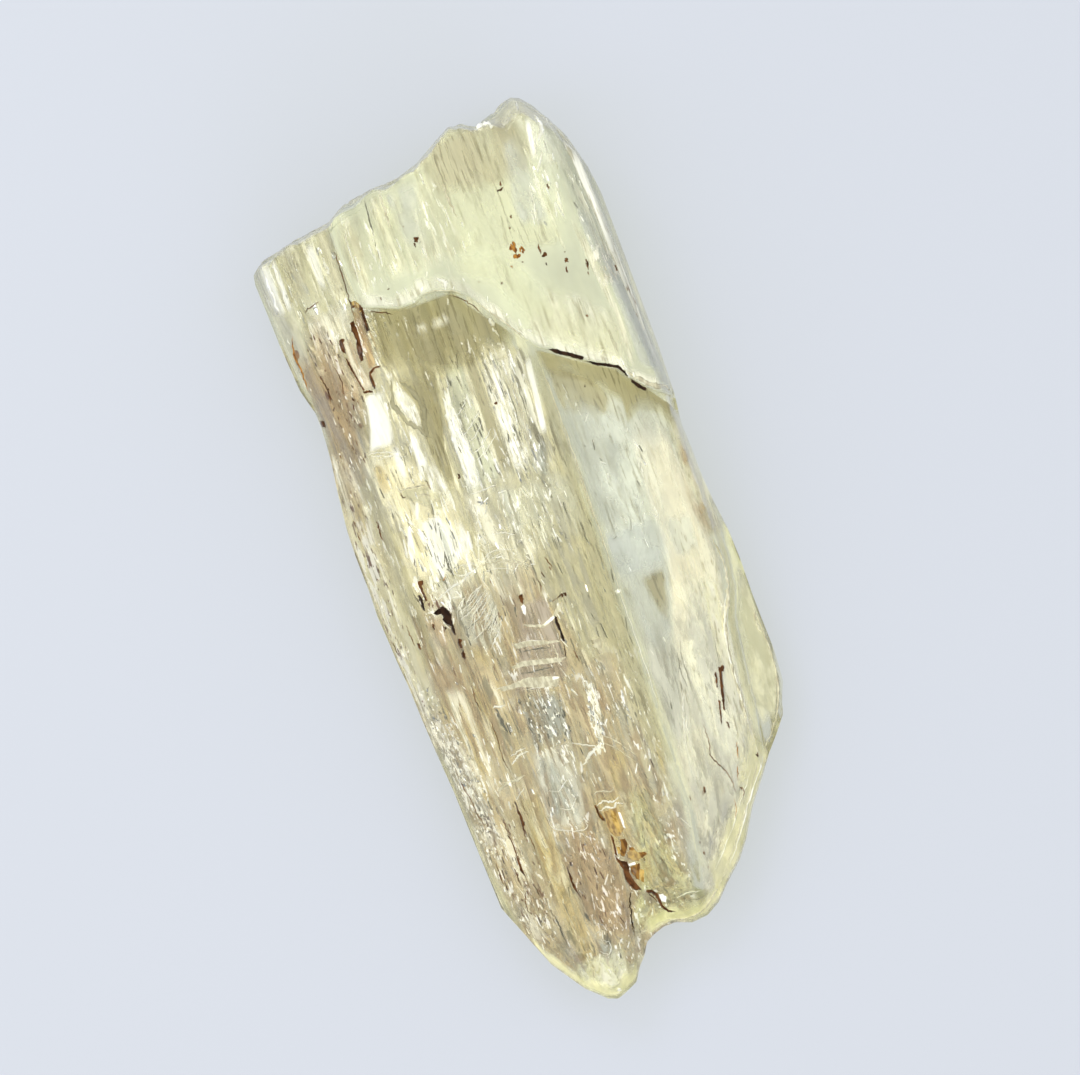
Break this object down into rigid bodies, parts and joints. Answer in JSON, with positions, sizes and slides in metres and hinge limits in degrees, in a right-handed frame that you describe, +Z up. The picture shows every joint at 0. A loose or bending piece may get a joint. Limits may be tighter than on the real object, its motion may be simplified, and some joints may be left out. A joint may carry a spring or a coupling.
{
  "type": "spodumene crystal",
  "caption": "Loose pale yellow-green spodumene crystal: flattened striated prism with a broken wide end, a cleaved step and a two-lobed lower end, lying on its back face.",
  "frame": {"origin": "middle of the bounding box in plan, on the flat back face that the crystal rests on", "axes": "+Y along the c axis towards the wide broken end, +Z up through the crystal's thickness, out of its stepped front"},
  "size_m": [0.0247, 0.06, 0.0126],
  "materials": {
    "spodumene": "clear pale yellow-green crystal with glossy cleavage faces, fine striations and brown iron stains"
  },
  "bodies": {
    "root": {"spodumene_crystal": "spodumene"}
  },
  "joints": []
}
